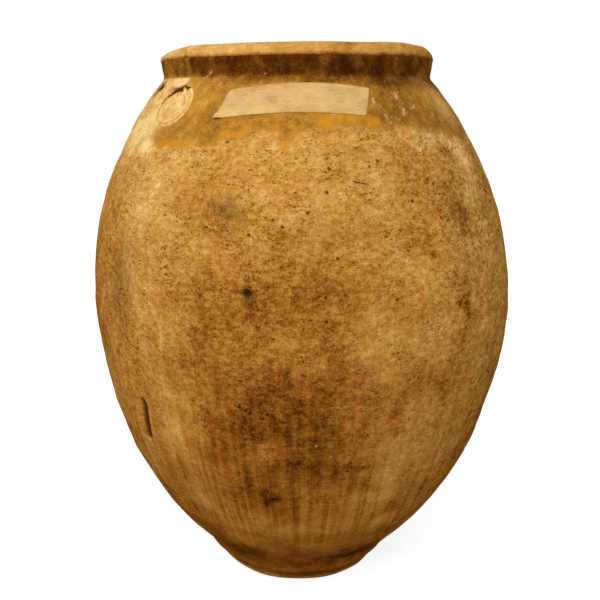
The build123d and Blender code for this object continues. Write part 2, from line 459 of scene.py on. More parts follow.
def clay_paint(points):
    """The numbers that are painted on the clay at these points."""
    bearing, drop = place_of(points)
    height = points[:, 2]
    front, right = smooth_step(np.cos(bearing), 0.0, 0.7), smooth_step(np.sin(bearing), 0.2, 0.7)
    low = 1 - smooth_step(height, *low_band)
    patch = bare_patch(bearing, drop, points)
    # Painted shade and dirt darken the heel, higher at the front, and painted light makes the foot's lower
    # edge paler
    dirt_and_shade_top = dirt_and_shade_height + dirt_and_shade_rise * smooth_step(np.cos(bearing), 0.4, 1.0)
    dirt_and_shading = (1 - smooth_step(height, 0.5 * dirt_and_shade_top, dirt_and_shade_top)) * (2.4 * smooth_step(height, *lit_foot_edge) - 1.4)
    brown = clay_brown + low_brown * low + dirt_and_shading_brown * dirt_and_shading - patch_paleness_and_highlight * patch
    brown += (0.12 - 0.09 * front) * lumps(points * (1, 1, 0.6), 70 * mm, seed=20)
    push = np.stack([lumps(points, 10 * mm, seed=60 + axis) for axis in range(3)], axis=1)
    ragged = place_of(points + ragged_reach * push)
    soot_and_shade = 0.25 * smooth_step(lumps(points * (1, 1, 0.5), 60 * mm, seed=22), 0.4, 1.6) * (1 - front)
    uneven = 1 + 0.3 * lumps(points, 1.3 * mm, seed=23)
    # The stain and soot numbers also carry the ovals' painted shade and highlights
    stain_and_shading = 0.04 * lumps(points, 26 * mm, seed=21) + stained(*ragged, brown_stains_and_shade)
    facing = smooth_step(np.cos(bearing), 0.6, 1.0)
    marks = [1.1 * nearness(points, wall_dents[0], 8)]
    marks += [nearness(points, dent, 4, uneven) for dent in wall_dents[1:]]
    return {
        "brown": brown,
        "stain_and_shading": stain_and_shading - stained(*ragged, pale_stains_and_highlights),
        "soot_and_shade": soot_and_shade + stained(*ragged, soot_stains_and_shade),
        "streaks": (0.05 + 0.08 * (1 - front) + 0.72 * low) * smooth_step(height, *streak_band),
        "marks": np.max(marks, axis=0),
        "scuffs": np.max([scuff[3] * nearness(points, scuff, 2, uneven) for scuff in scuffs], axis=0),
        "stray": stained(bearing, drop, stray_glaze) * uneven,
        "pitting": 1 - 0.4 * low - 0.85 * patch,
        "mottling": 0.82 + 0.24 * right - 0.12 * facing - 0.40 * low - 0.3 * patch,
    }


print("painted on the clay:", *clay_paint(spot(300, 300)[None, :]))

# %% [markdown]
# ## Materials
# One small function adds a node with its settings and its links. Another turns a hex colour, as a paint
# chart gives it, into the linear colour that Blender works in. Three more work in layers: they vary a
# tone with textures, cover a colour with others, and press a relief into the surface.

# %% Node and colour helpers


def plug(tree, node, links):
    """Gives each named input of a node a socket or a plain value."""
    for name, value in links.items():
        if isinstance(value, bpy.types.NodeSocket):
            tree.links.new(value, node.inputs[name])
        else:
            node.inputs[name].default_value = value


def add(tree, kind, links=None, **settings):
    """Adds a node, with its own properties as settings, and returns its first live output."""
    node = tree.nodes.new("ShaderNode" + kind)
    for name, value in settings.items():
        setattr(node, name, value)
    plug(tree, node, links or {})
    return next((socket for socket in node.outputs if socket.enabled), None)


def colour(code):
    """A linear colour from an sRGB hex code."""
    parts = [int(code[place:place + 2], 16) / 255 for place in (1, 3, 5)]
    return [part / 12.92 if part <= 0.04045 else ((part + 0.055) / 1.055) ** 2.4 for part in parts] + [1.0]


def start_material(name, numbers):
    """A new material: its tree and shader, the place on the object, and the numbers painted there."""
    material = bpy.data.materials.new(name)
    material.use_nodes = True
    tree = material.node_tree
    place = add(tree, "TexCoord").node.outputs["Object"]
    paint = {number: add(tree, "Attribute", attribute_name=number).node.outputs["Fac"] for number in numbers}
    return material, tree, tree.nodes["Principled BSDF"], place, paint


def vary(tree, tone, layers):
    """Adds textures to a tone; each layer is a texture, its mean and how much it counts."""
    for texture, mean, amount in layers:
        texture = add(tree, "Math", {0: texture, 1: mean}, operation="SUBTRACT")
        tone = add(tree, "Math", {0: texture, 1: amount, 2: tone}, operation="MULTIPLY_ADD")
    return tone


def set_stops(ramp, stops):
    """Gives a ramp its colours, from {tone: hex code}."""
    elements = ramp.node.color_ramp.elements
    while len(elements) < len(stops):
        elements.new(1.0)
    for element, (position, code) in zip(elements, stops.items()):
        element.position = position
        element.color = colour(code)
    return ramp


def cover(tree, body, layers):
    """Lays colours over a colour; each layer is how much it covers and what it covers with."""
    for share, top in layers:
        body = add(tree, "Mix", {"Factor": share, "A": body, "B": top}, data_type="RGBA")
    return body


def relief(tree, layers, normal=None):
    """A bumpy surface; each layer is a texture, its strength and depth, and whether it goes inwards."""
    for texture, strength, depth, inwards in layers:
        links = {"Height": texture, "Strength": strength, "Distance": depth}
        if normal:
            links["Normal"] = normal
        normal = add(tree, "Bump", links, invert=inwards)
    return normal


print("a mid grey of #808080 is", round(colour("#808080")[0], 3), "in linear light")

# %% [markdown]
# ### Bare earthenware
# Low-fired buff clay, smoothed by hand and left unglazed. It is matt and sandy, with grit up to 2 or 3 mm,
# small pits that the turning drew out sideways, and clouds of dirt. The tone runs from pale buff to dark
# brown on one ramp: the painted stains set it, and clouds, grit and vertical streaks break it up.

# %% Bare earthenware
clay_numbers = ["brown", "stain_and_shading", "soot_and_shade", "streaks", "marks", "scuffs", "stray", "pitting", "mottling"]
# Much of the grit is finer, and is drawn this coarse so that it shows
grit_size = 2.4 * mm
mottle_size = 8 * mm
cloud_size = 24 * mm
crowd_size = 28 * mm
streak_width = 6 * mm
streak_turn = 250 * mm
streak_rise = 0.05
clay_shades = {0.0: "#F8D58E", 0.2: "#D9A95C", 0.4: "#C08A3C", 0.6: "#9B621F", 0.8: "#653708", 1.0: "#351A01"}
# Each kind of pit: spacing, share of places that have one, largest size as a share of spacing, darkness
pit_kinds = [(2.6 * mm, 0.7, 0.45, 0.55), (4.2 * mm, 0.6, 0.40, 0.6), (8 * mm, 0.6, 0.32, 0.85),
             (17 * mm, 0.5, 0.16, 1.0)]


def make_pits(tree, place, spacing, share, largest, darkness):
    """A mask of ragged pits that lie sideways, scattered at this spacing and crowded in places."""
    flat = add(tree, "Mapping", {"Vector": place, "Scale": (1, 1, 1.7)})
    wobble = add(tree, "TexNoise", {"Vector": place, "Scale": 2.2 / spacing, "Detail": 1.0})
    flat = add(tree, "VectorMath", {0: wobble.node.outputs["Color"], 1: (0.9 * spacing,) * 3, 2: flat},
               operation="MULTIPLY_ADD")
    distance = add(tree, "TexVoronoi", {"Vector": flat, "Scale": 1 / spacing})
    chance = add(tree, "SeparateColor", {"Color": distance.node.outputs["Color"]})
    crowd = add(tree, "TexNoise", {"Vector": place, "Scale": 1 / crowd_size, "Detail": 2.0})
    crowd = add(tree, "MapRange", {"Value": crowd, "From Min": 0.38, "From Max": 0.62,
                                   "To Min": 0.4 * largest, "To Max": 1.2 * largest})
    size = add(tree, "MapRange", {"Value": chance, "From Min": 1 - share, "To Min": -0.02, "To Max": crowd})
    inside = add(tree, "Math", {0: size, 1: distance}, operation="SUBTRACT")
    return add(tree, "MapRange", {"Value": inside, "From Max": 0.14, "To Max": darkness})


def make_streaks(tree, place):
    """A texture drawn out up the wall: the place round the jar counts, and hardly the height."""
    level = add(tree, "VectorMath", {0: place, 1: (1, 1, 0)}, operation="MULTIPLY")
    around = add(tree, "VectorMath", {0: level}, operation="NORMALIZE")
    upward = add(tree, "VectorMath", {0: place, 1: (0, 0, streak_rise)}, operation="MULTIPLY")
    tall = add(tree, "VectorMath", {0: around, 1: (streak_turn, streak_turn, 0), 2: upward},
               operation="MULTIPLY_ADD")
    return add(tree, "TexNoise", {"Vector": tall, "Scale": 1 / streak_width, "Detail": 4.0})


def clay_look(tree, place, paint):
    """Colour and surface of the bare clay, which also shows where the glaze is thin."""
    wide = add(tree, "Mapping", {"Vector": place, "Scale": (1, 1, 1.5)})
    clouds = add(tree, "TexNoise", {"Vector": place, "Scale": 1 / cloud_size, "Detail": 4.0})
    mottle = add(tree, "TexNoise", {"Vector": wide, "Scale": 1 / mottle_size, "Detail": 5.0,
                                    "Roughness": 0.57})
    grit = add(tree, "TexNoise", {"Vector": place, "Scale": 1 / grit_size, "Detail": 2.0})
    speckle = add(tree, "Math", {0: grit, 1: 0.58, 2: mottle}, operation="MULTIPLY_ADD")
    spotty = add(tree, "Math", {0: mottle, 1: 0.3, 2: 0.85}, operation="MULTIPLY_ADD")
    tone = vary(tree, paint["brown"], [
        (clouds, 0.5, 0.36), (speckle, 0.79, paint["mottling"]),
        (make_streaks(tree, place), 0.5, paint["streaks"]), (spotty, 0.0, paint["stain_and_shading"]),
    ])
    grains = add(tree, "MapRange", {"Value": grit, "From Min": 0.45, "From Max": 0.2, "To Max": 0.10})
    sooty = add(tree, "Math", {0: paint["soot_and_shade"], 1: spotty}, operation="MULTIPLY")
    pits = paint["marks"]
    for kind in pit_kinds:
        more = make_pits(tree, place, *kind)
        more = add(tree, "Math", {0: more, 1: paint["pitting"]}, operation="MULTIPLY")
        pits = add(tree, "Math", {0: pits, 1: more}, operation="MAXIMUM")
    dark = add(tree, "Math", {0: pits, 1: 0.85}, operation="MULTIPLY")
    body = set_stops(add(tree, "ValToRGB", {"Fac": tone}), clay_shades)
    body = cover(tree, body, [
        (grains, colour("#F2D08A")), (paint["stray"], colour("#D58A1C")), (sooty, colour("#47330F")),
        (dark, colour("#3E1A06")), (paint["scuffs"], colour("#EACB92")),
    ])
    rough = relief(tree, [
        (grit, 0.35, 0.6 * mm, False), (mottle, 0.45, 1.2 * mm, False), (pits, 1.0, 1.0 * mm, True),
    ])
    return body, rough


def bare_earthenware():
    material, tree, shader, place, paint = start_material("buff_earthenware", clay_numbers)
    body, rough = clay_look(tree, place, paint)
    plug(tree, shader, {"Base Color": body, "Normal": rough, "Roughness": 0.82, "Specular IOR Level": 0.0})
    return material


clay = bare_earthenware()
print("material:", clay.name)

# %% [markdown]
# ### Lead glaze
# A honey-coloured lead glaze was poured over the collar and shoulder. Where it lies thick, on the collar,
# it is dark brown; on the shoulder it is ochre; at its thin lower edge it turns orange and then lets the
# clay through. On the outside, wear has taken its shine, and inside a little is left. A second layer of
# shader would do, but mixing the clay's own colour in, by how bare each place is painted, leaves no hard
# edge.

# %% Lead glaze
glaze_numbers = ["tone", "orange", "bare", "chips_and_sheen"]
glaze_cloud_size = 11 * mm
# Two kinds of pits, in the form of the clay's
glaze_pit_kinds = [(6 * mm, 0.5, 0.22, 0.8), (3.2 * mm, 0.5, 0.35, 0.4)]
honey_shades = {0.0: "#D9A552", 0.25: "#BF8634", 0.45: "#9C6C25", 0.65: "#744614", 0.82: "#542D0A",
                1.0: "#381B05"}
lining_shades = {0.0: "#C08A34", 0.3: "#A06E22", 0.6: "#7C5218", 1.0: "#4C300C"}


def lead_glaze(name, stops, shine):
    material, tree, shader, place, paint = start_material(name, clay_numbers + glaze_numbers)
    bare_body, bare_rough = clay_look(tree, place, paint)
    clouds = add(tree, "TexNoise", {"Vector": place, "Scale": 1 / glaze_cloud_size, "Detail": 6.0,
                                    "Roughness": 0.7})
    grit = add(tree, "TexNoise", {"Vector": place, "Scale": 1 / grit_size, "Detail": 1.0})
    tone = vary(tree, paint["tone"], [(clouds, 0.5, 0.85), (grit, 0.5, 0.3)])
    runny = add(tree, "Math", {0: paint["orange"], 1: clouds}, operation="MULTIPLY")
    runny = add(tree, "MapRange", {"Value": runny, "From Min": 0.15, "From Max": 0.65, "To Max": 0.8})
    pits, specks = [make_pits(tree, place, *kind) for kind in glaze_pit_kinds]
    pits = add(tree, "Math", {0: pits, 1: specks}, operation="MAXIMUM")
    bare = add(tree, "Math", {0: clouds, 1: 0.9, 2: paint["bare"]}, operation="MULTIPLY_ADD")
    bare = add(tree, "MapRange", {"Value": bare, "From Min": 0.65, "From Max": 1.35})
    # The chips' pale colour also carries the painted sheen
    chips_and_sheen = paint["chips_and_sheen"]
    body = set_stops(add(tree, "ValToRGB", {"Fac": tone}), stops)
    body = cover(tree, body, [
        (runny, colour("#D38C22")), (pits, colour("#3A2208")), (bare, bare_body), (chips_and_sheen, colour("#DDB27A")),
    ])
    worn = add(tree, "Math", {0: bare, 1: chips_and_sheen}, operation="MAXIMUM")
    dull = add(tree, "MapRange", {"Value": clouds, "From Min": 0.3, "From Max": 0.7,
                                  "To Min": 0.42, "To Max": 0.66})
    dull = add(tree, "Mix", {"Factor": worn, "A": dull, "B": 0.85})
    rough = relief(tree, [(grit, 0.35, 0.4 * mm, False), (clouds, 0.5, 1.2 * mm, False)])
    rough = add(tree, "Mix", {"Factor": bare, "A": rough, "B": bare_rough}, data_type="VECTOR")
    rough = relief(tree, [(chips_and_sheen, 0.8, 0.6 * mm, True)], rough)
    plug(tree, shader, {"Base Color": body, "Roughness": dull, "Normal": rough, "Specular IOR Level": shine})
    return material


honey_glaze = lead_glaze("honey_lead_glaze", honey_shades, shine=0.0)
lining_glaze = lead_glaze("brown_lining_glaze", lining_shades, shine=0.25)
print("materials:", honey_glaze.name, lining_glaze.name)

# %% [markdown]
# ### Paper tape
# Creped masking paper: pale cream, matt, with fine wrinkles that run along the strip. The pattern could
# lie on the object's own coordinates, but it follows the strip's map, because the strip bends round the
# shoulder.

# %% Creped paper
# Real wrinkles are about 0.5 mm apart, and are drawn twice as coarse so that they show
fibre_length, fibre_spacing = 9 * mm, 1.1 * mm
paper_cloud_size = 18 * mm
paper_shades = {0.3: "#E4C27C", 0.55: "#D6B06A", 0.75: "#BC9150", 1.0: "#8A6228"}


def creped_paper():
    material, tree, shader, place, paint = start_material("creped_paper_tape", ["wear_and_shade"])
    strip = add(tree, "UVMap", uv_map="strip")
    strip = add(tree, "Mapping", {"Vector": strip, "Scale": (1 / fibre_length, 1 / fibre_spacing, 1)})
    fibres = add(tree, "TexNoise", {"Vector": strip, "Scale": 1.0, "Detail": 4.0, "Roughness": 0.6})
    clouds = add(tree, "TexNoise", {"Vector": place, "Scale": 1 / paper_cloud_size, "Detail": 4.0})
    tone = vary(tree, paint["wear_and_shade"], [(fibres, 0.0, 0.75), (clouds, 0.0, 0.4)])
    rough = relief(tree, [(fibres, 0.6, 0.35 * mm, False)])
    body = set_stops(add(tree, "ValToRGB", {"Fac": tone}), paper_shades)
    plug(tree, shader, {"Base Color": body, "Normal": rough, "Roughness": 0.75})
    return material


tape_paper = creped_paper()
print("material:", tape_paper.name)

# %% [markdown]
# ## Courses
# Each course is the wall between two bevelled joints: the outside is fine, with a row every 2.5 mm, and
# the inside, which the lining hides, is coarse. The CAD pieces could be moved and painted as they are,
# but their triangles are too few for dents. The joints were smoothed over by the potter, so the outsides
# meet flush.

# %% Courses
wall_thickness = 16 * mm
joint_bevel = math.radians(20)
hidden_spacing, joint_spacing = 12 * mm, 6 * mm
floor_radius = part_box("base_slab")[1].x
floor_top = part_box("base_slab")[1].z
mouth_radius = 152 * mm
collar_bottom = neck_height - 4 * mm


def dress(mesh, node, suffix, material, painter, move=hand_made):
    """Makes a bmesh into the piece that stands for a CAD node: painted, then moved."""
    data = bpy.data.meshes.new(f"{node}_{suffix}")
    mesh.to_mesh(data)
    mesh.free()
    plain = np.empty(len(data.vertices) * 3)
    data.vertices.foreach_get("co", plain)
    plain = plain.reshape(-1, 3)
    for name, numbers in painter(plain).items():
        layer = data.attributes.new(name, "FLOAT", "POINT")
        layer.data.foreach_set("value", np.asarray(numbers, dtype=np.float32))
    data.vertices.foreach_set("co", move(plain).ravel())
    data.update()
    data.materials.append(material)
    piece = bpy.data.objects.new(data.name, data)
    bpy.context.scene.collection.objects.link(piece)
    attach(piece, "root")
    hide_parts(node)
    print(piece.name, len(data.polygons), "faces")
    return piece


def wall_section(low, high, depth, spacing):
    """Points of the wall between two lengths from the foot, at a depth below the outside."""
    count = max(2, round((high - low) / spacing) + 1)
    height, radius, normal_out, normal_up = wall_place(wall_length - np.linspace(low, high, count))
    return np.stack([radius - depth * normal_out, height - depth * normal_up], axis=1)


def joint_inner_end(number):
    """Where the joint below a course reaches the inside of the wall."""
    if number == 0:
        return np.array([floor_radius, floor_top])
    if number == course_count:
        return np.array([mouth_radius, collar_bottom])
    height, radius, normal_out, normal_up = wall_place(wall_length * (1 - number / course_count))
    turn_cos, turn_sin = math.cos(joint_bevel), math.sin(joint_bevel)
    inward = -normal_out * turn_cos - normal_up * turn_sin
    upward = normal_out * turn_sin - normal_up * turn_cos
    return np.array([radius, height]) + np.array([inward, upward]) * wall_thickness / turn_cos


def course_section(number):
    """A course's outside, then its top joint, its inside and its bottom joint."""
    low, high = wall_length * number / course_count, wall_length * (number + 1) / course_count
    outside = wall_section(low, high, 0.0, row_spacing)
    inside = wall_section(low, high, wall_thickness, hidden_spacing)
    share = np.linspace(0, 1, len(inside))[:, None]
    inside = inside + (1 - share) * (joint_inner_end(number) - inside[0])
    inside = inside + share * (joint_inner_end(number + 1) - inside[-1])
    top = run(outside[-1], inside[-1], joint_spacing)
    bottom = run(inside[0], outside[0], joint_spacing)
    return np.concatenate([outside, top[1:-1], inside[::-1], bottom[1:-1]])


def course_mesh(number):
    mesh = turned(course_section(number))
    refine(mesh, wall_dents + lip_dents + scuffs, reach=2.5, cuts=3)
    return mesh


for number, name in enumerate(courses[:-1]):
    dress(course_mesh(number), name, "clay", clay, clay_paint)

# %% [markdown]
# ## Pockets for the seals
# The shoulder is the last course. The maker's stamp pushed two round pockets into it, which a boolean cut
# could make too, but pushing the fine mesh in keeps the wall whole. The front seal is placed by four
# pixels, at the ends of its long and short axes as the camera sees them, and the side one, seen edge-on,
# by its bearing.

# %% Pockets for the seals
front_seal_pixels = ((189.5, 86.5), (155.5, 124), (182.6, 114.3), (163.5, 97.5))
side_seal_bearing, side_seal_drop = math.radians(-66.5), 34 * mm
seal_radius = 28.3 * mm
pocket_depth, pocket_reach = 8 * mm, 36 * mm
pocket_edge, pocket_shade_edge = (0.965, 1.015), 1.004
outside_depth = (4 * mm, 1 * mm)


def wall_step(start, end):
    """The way from one place on the wall to another, round it and up it."""
    return np.array([(end[0] - start[0]) * wall_place(start[1])[1], start[1] - end[1]])


seal_top, seal_bottom, seal_near, seal_far = [np.array(wall_spot(*pixel)) for pixel in front_seal_pixels]
seal_axes = np.array([wall_step(seal_far, seal_near), wall_step(seal_bottom, seal_top)]) / 2
seal_places = [(seal_top + seal_bottom + seal_near + seal_far) / 4, (side_seal_bearing, side_seal_drop)]
seal_middles = []
for bearing, drop in seal_places:
    height, radius, normal_out, normal_up = wall_place(drop)
    seal_middles.append(at_bearing(bearing, radius, height))
seal_marks = [(middle, middle, pocket_reach, 0) for middle in seal_middles]
print("half-axes of a seal:", np.round(np.linalg.norm(seal_axes, axis=1) / mm, 1), "mm, bearings:",
      [round(math.degrees(bearing), 1) for bearing, drop in seal_places])


def seal_distance(bearing, drop, seal):
    """Distance from a seal's middle, 1 at its edge."""
    steps = np.stack([(bearing - seal[0]) * wall_place(seal[1])[1], seal[1] - drop], axis=1)
    return np.linalg.norm(steps @ np.linalg.inv(seal_axes), axis=1)


def pocketed(points):
    """Hand-made, with the pockets that the seals were pressed into."""
    moved = hand_made(points)
    bearing, drop = place_of(points)
    height, radius, normal_out, normal_up = wall_place(drop)
    depth = radius - np.hypot(points[:, 0], points[:, 1])
    for seal in seal_places:
        sink = pocket_depth * (1 - smooth_step(seal_distance(bearing, drop, seal), *pocket_edge))
        sink = sink * smooth_step(depth, *outside_depth)
        moved = moved - at_bearing(bearing, normal_out, normal_up) * sink[:, None]
    return moved


def pocket_paint(points):
    """The clay's paint, with painted shade inside the pockets."""
    values = clay_paint(points)
    for seal in seal_places:
        values["marks"] = np.maximum(values["marks"], seal_distance(*place_of(points), seal) < pocket_shade_edge)
    return values


shoulder = course_mesh(course_count - 1)
refine(shoulder, seal_marks, reach=1.0, cuts=3)
dress(shoulder, "shoulder_course", "clay", clay, pocket_paint, pocketed)

# %% [markdown]
# ## Foot and floor
# The floor is a slab, and a coil pressed round its edge makes the low foot. The foot's lower edge is worn
# round by being dragged about, and the wall above it starts with a crease. A bevel modifier could round
# the edge, but an arc in the section is simpler.

# %% Foot and floor
slab_radius = floor_radius - 8 * mm
base_radius = 121 * mm
foot_wear = 7 * mm
slab_spacing, sole_spacing, foot_spacing = 9 * mm, 4 * mm, 2.2 * mm
waist_radius = wall_radius(foot_top)

slab_section = np.concatenate([
    run((0, 0), (slab_radius, 0), slab_spacing),
    run((floor_radius, floor_top), (0, floor_top), slab_spacing),
])
dress(turned(slab_section, closed=False), "base_slab", "clay", clay, clay_paint)
foot_section = np.concatenate([
    run((slab_radius, 0), (base_radius - foot_wear, 0), sole_spacing),
    arc((base_radius - foot_wear, foot_wear), (foot_wear, foot_wear), -90, 0)[1:],
    run((base_radius, foot_wear), (waist_radius, foot_top), foot_spacing)[1:],
    run((waist_radius, foot_top), (floor_radius, floor_top), joint_spacing)[1:],
])
dress(turned(foot_section), "foot_coil", "clay", clay, clay_paint)

# %% [markdown]
# ## Collar and lip
# The collar is a short upright ring, hidden under the glaze. The lip is a thick coil laid on it, bare and
# sandy on top, with a well-rounded outer edge and a ragged trace of glaze below. It is turned from arcs
# of ellipses, because a round bevel looks machined.

# %% Collar and lip
lip_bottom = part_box("lip_coil")[0].z - 1.5 * mm
lip_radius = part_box("lip_coil")[1].x + 1.2 * mm
lip_step = 1 * mm
collar_radius = lip_radius - 1.6 * mm
collar_spacing, lip_spacing = 2 * mm, 5 * mm
lip_round = np.array([15.5 * mm, 11.5 * mm])
mouth_round = np.array([7 * mm, 6 * mm])
lip_side = (8 * mm, 3 * mm)
trace_height, trace_fade = 0.6 * mm, 2 * mm

collar_corners = [
    (wall_radius(neck_height), neck_height), (collar_radius, lip_bottom), (mouth_radius, lip_bottom),
    (mouth_radius, collar_bottom),
]
collar_section = np.concatenate([
    run(*collar_corners[:2], collar_spacing),
    run(*collar_corners[1:3], joint_spacing)[1:],
    run(*collar_corners[2:], joint_spacing)[1:],
    run(collar_corners[3], collar_corners[0], joint_spacing)[1:-1],
])
dress(turned(collar_section), "neck_collar", "clay", clay, clay_paint)
lip_section = np.concatenate([
    run((mouth_radius, lip_bottom), (lip_radius - lip_step, lip_bottom), lip_spacing),
    arc((lip_radius, rim_height) - lip_round, lip_round, 0, 90, 16),
    arc((mouth_radius, rim_height) + mouth_round * (1, -1), mouth_round, 90, 180),
])


def lip_paint(points):
    """The clay's paint without stains: sandy, paler on the left, darker in chips and along the glaze."""
    values = clay_paint(points)
    bearing = place_of(points)[0]
    ragged = lumps(points, 6 * mm, seed=30) + 0.7 * lumps(points, 16 * mm, seed=31)
    edge = lip_bottom + trace_height * (1 + ragged)
    side = smooth_step(lip_radius - np.hypot(points[:, 0], points[:, 1]), *lip_side)
    glazed = side * (1 - smooth_step(points[:, 2], edge, edge + trace_fade))
    chipped = np.max([nearness(points, chip, 2) for chip in lip_dents], axis=0)
    brown = 0.21 + 0.15 * smooth_step(np.sin(bearing), -0.7, 0.1) + 0.025 * ragged
    values["brown"] = brown + 0.35 * glazed + 0.12 * chipped
    values["pitting"] *= 0.15
    values["mottling"][:] = 0.5
    for name in ("stain_and_shading", "soot_and_shade", "streaks"):
        values[name][:] = 0
    return values


lip_mesh = turned(lip_section)
refine(lip_mesh, wall_dents + lip_dents, reach=1.6, cuts=1)
dress(lip_mesh, "lip_coil", "clay", clay, lip_paint)

# %% [markdown]
# ## Edge of the glaze
# The glaze ends in a wandering line with runs, and over the years bits of it chipped off. The line is
# known on the front, as pixels from left to right, and made up of lumps elsewhere. It could be cut into
# the mesh, but a skin that goes on below the line and dips under the clay there gives a natural, uneven
# border.

# %% Edge of the glaze
glaze_thickness, glaze_dip = 0.8 * mm, 0.6 * mm
glaze_edge_pixels = [
    (140, 148), (155, 151), (176, 150), (200, 150), (214, 149), (222, 141), (243, 137), (262, 133),
    (278, 136), (284, 146), (291, 146), (296, 138), (306, 134), (318, 132), (330, 134), (345, 131),
    (362, 134), (384, 138), (396, 138), (415, 138), (435, 140), (450, 142), (460, 146), (466, 150),
]
# Chips in the glaze: pixels of both ends, width in millimetres
chip_kinds = [
    ((203, 79.5), (212.5, 71.5), 0.8), ((220, 85), (220, 85), 1.6), ((372, 100), (373, 103), 1.8),
    ((395, 95), (396, 98), 2.8), ((402, 109), (403, 115), 1.6), ((385, 115), (386, 118), 1.2),
    ((403, 104), (403, 104), 1.2), ((413, 106), (412, 108), 1.2), ((431, 114), (431, 114), 1.2),
    ((430, 112), (430, 112), 1.0), ((380, 107), (380, 107), 1.0), ((398, 120), (398, 120), 0.9),
]
chip_strength = 0.8
glaze_chips = [place_mark(*kind, chip_strength) for kind in chip_kinds]
edge_bearings, edge_drops = np.array([wall_spot(*pixel) for pixel in glaze_edge_pixels]).T
mean_drop, run_length = 73 * mm, 22 * mm


def glaze_edge(bearing, points):
    """Drop of the glaze's lower edge at each bearing: as seen on the front, wandering elsewhere."""
    seen = np.interp(bearing, edge_bearings, edge_drops)
    ring = points * (1, 1, 0)
    unseen = mean_drop + 9 * mm * lumps(ring, 45 * mm, seed=40) + 5 * mm * lumps(ring, 12 * mm, seed=41)
    unseen += run_length * smooth_step(lumps(ring, 14 * mm, seed=42), 0.9, 1.8)
    first, last = edge_bearings[0], edge_bearings[-1]
    begun = smooth_step(bearing, first - 0.15, first + 0.05)
    known = begun * (1 - smooth_step(bearing, last - 0.05, last + 0.15))
    ragged = 2.2 * mm * lumps(points, 9 * mm, seed=43) + 1.2 * mm * lumps(points, 4 * mm, seed=39)
    return known * seen + (1 - known) * unseen + ragged


def glaze_cover(bearing, drop, points):
    """Height of the glaze over the clay: about 0.8 mm where it lies, below zero where the clay is bare."""
    above_edge = glaze_edge(bearing, points) - drop
    height = (glaze_thickness + glaze_dip) * smooth_step(above_edge, -3 * mm, 4 * mm) - glaze_dip
    height += 0.15 * mm * lumps(points, 10 * mm, seed=45) * smooth_step(above_edge, 0, 6 * mm)
    bare = smooth_step(bare_patch(bearing, drop, points), 0.75, 1.0)
    return height * (1 - bare) - glaze_thickness * bare


print("glaze edge:", np.round(np.degrees(edge_bearings[[0, -1]])), "degrees seen,", len(glaze_chips), "chips_and_sheen")

# %% [markdown]
# ## Colours of the glaze
# The glaze is thickest and darkest on the collar, a little darker on the right of the shoulder, dull and
# lightened by a painted sheen near the right edge, and orange where it ran thin. These too are numbers
# painted on the vertices, with the clay's own paint below them for where it shows through.

# %% Colours of the glaze
# Where a painted sheen lightens the glaze, where it ran orange and where it pooled, in the form of stains
painted_sheen_places = [(442, 107, 26, 32, 1.15), (412, 78, 16, 8, 0.35), (392, 79, 10, 6, 0.3)]
orange_places = [(326, 124, 14, 13, 1.0), (347, 119, 10, 7, 0.8), (371, 124, 14, 9, 1.0)]
pooled_places = [(190, 128, 26, 12, 1.0)]
collar_band = (6 * mm, -3 * mm)
orange_band = (20 * mm, 7 * mm)
neck_band = (25 * mm, 5 * mm)
fade_left, fade_right = 9 * mm, 14 * mm


def glaze_tone(points, bearing, drop, right, painted_sheen):
    """Darkness of the glaze: on the shoulder, just under the neck, and on the collar."""
    shoulder_tone = 0.33 + 0.10 * right + 0.06 * stained(bearing, np.maximum(drop, 0), pooled_places)
    # The painted sheen lightens the shoulder's tone
    shoulder_tone += 0.06 * lumps(points, 30 * mm, seed=46) - 0.36 * painted_sheen
    under_neck = smooth_step(drop, *neck_band) * smooth_step(bearing, -0.5, -0.2)
    shoulder_tone += (0.27 + 0.06 * right) * under_neck
    collar_tone = 0.53 + 0.27 * smooth_step(bearing, -0.8, -0.45) - 0.28 * smooth_step(bearing, 0.75, 1.3)
    collar_tone += 0.08 * lumps(points, 20 * mm, seed=48) + 0.05 * lumps(points, 8 * mm, seed=38)
    collar = smooth_step(drop, *collar_band)
    return shoulder_tone * (1 - collar) + collar_tone * collar


def glaze_paint(points):
    """Darkness, orange runs, bareness and chips of the glaze, with the paint of the clay below it."""
    bearing, drop = place_of(points)
    below_neck = np.maximum(drop, 0)
    above_edge = glaze_edge(bearing, points) - drop
    right = smooth_step(np.sin(bearing), 0.15, 0.55)
    # A painted sheen near the right edge, placed like stains
    painted_sheen = stained(bearing, below_neck, painted_sheen_places) * smooth_step(drop, -2 * mm, 3 * mm)
    orange = smooth_step(above_edge, *orange_band) * (1 - 0.75 * smooth_step(bearing, -0.05, 0.3))
    orange = orange * (0.8 + 0.3 * lumps(points, 12 * mm, seed=47))
    runs = stained(bearing, below_neck, orange_places) * (1 + 0.4 * lumps(points, 5 * mm, seed=36))
    bare = np.max([
        1 - smooth_step(above_edge, -2 * mm, fade_left + fade_right * right),
        bare_patch(bearing, drop, points),
        1 - smooth_step(seal_distance(bearing, drop, seal_places[0]), 1.0, 1.1),
    ], axis=0)
    uneven = 1 + 0.45 * lumps(points, 1.5 * mm, seed=49)
    chips_and_sheen = [chip[3] * nearness(points, chip, 2, uneven) for chip in glaze_chips]
    # The painted sheen is also laid on with the chips' pale colour
    chips_and_sheen += [0.30 * painted_sheen * (1 + 0.5 * lumps(points, 7 * mm, seed=37)), np.zeros(len(points))]
    tone = glaze_tone(points, bearing, drop, right, painted_sheen)
    return clay_paint(points) | {"tone": tone, "orange": np.maximum(orange, 1.3 * runs), "bare": bare,
                                 "chips_and_sheen": np.max(chips_and_sheen, axis=0)}


print("glaze:", len(painted_sheen_places), "rubbed places,", len(orange_places), "orange ones")

